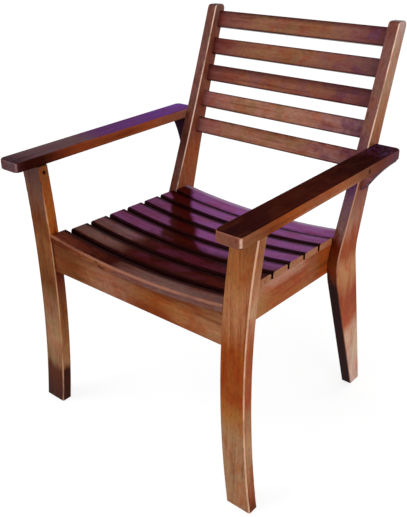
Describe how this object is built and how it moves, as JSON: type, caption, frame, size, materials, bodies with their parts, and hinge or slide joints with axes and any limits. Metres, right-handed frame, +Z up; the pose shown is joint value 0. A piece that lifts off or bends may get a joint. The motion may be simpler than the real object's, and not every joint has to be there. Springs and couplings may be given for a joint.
{
  "type": "slatted wooden armchair",
  "caption": "Upright wooden armchair with a dished slatted seat, a leaning slatted back, flat arms and bowed front legs, to sit in indoors or on a porch.",
  "frame": {"origin": "on the floor, midway between the sides and midway from the front of the arms to the back of the posts", "axes": "+X towards the sitter's left, +Y towards the chair's back, +Z up"},
  "size_m": [0.636, 0.6533, 0.886],
  "materials": {
    "frame_wood": "gloss varnish",
    "seat_wood": "gloss varnish",
    "back_wood": "gloss varnish",
    "arm_wood": "gloss varnish",
    "dowel_wood": "plain",
    "screw_steel": "satin"
  },
  "bodies": {
    "root": {"arm_bracket_left": "arm_wood", "arm_bracket_right": "arm_wood", "arm_dowels": "dowel_wood", "arm_screws": "screw_steel", "armrest_left": "arm_wood", "armrest_right": "arm_wood", "back_post_left": "frame_wood", "back_post_right": "frame_wood", "back_slat_1": "back_wood", "back_slat_2": "back_wood", "back_slat_3": "back_wood", "back_slat_4": "back_wood", "back_slat_5": "back_wood", "bracket_screws": "screw_steel", "front_leg_left": "frame_wood", "front_leg_right": "frame_wood", "front_rail": "frame_wood", "leg_pegs": "dowel_wood", "post_screws": "screw_steel", "rear_rail": "frame_wood", "seat_slat_1": "seat_wood", "seat_slat_2": "seat_wood", "seat_slat_3": "seat_wood", "seat_slat_4": "seat_wood", "seat_slat_5": "seat_wood", "seat_slat_6": "seat_wood", "seat_slat_7": "seat_wood", "seat_slat_8": "seat_wood", "side_rail_left": "frame_wood", "side_rail_right": "frame_wood", "slat_dowels": "dowel_wood"}
  },
  "joints": []
}
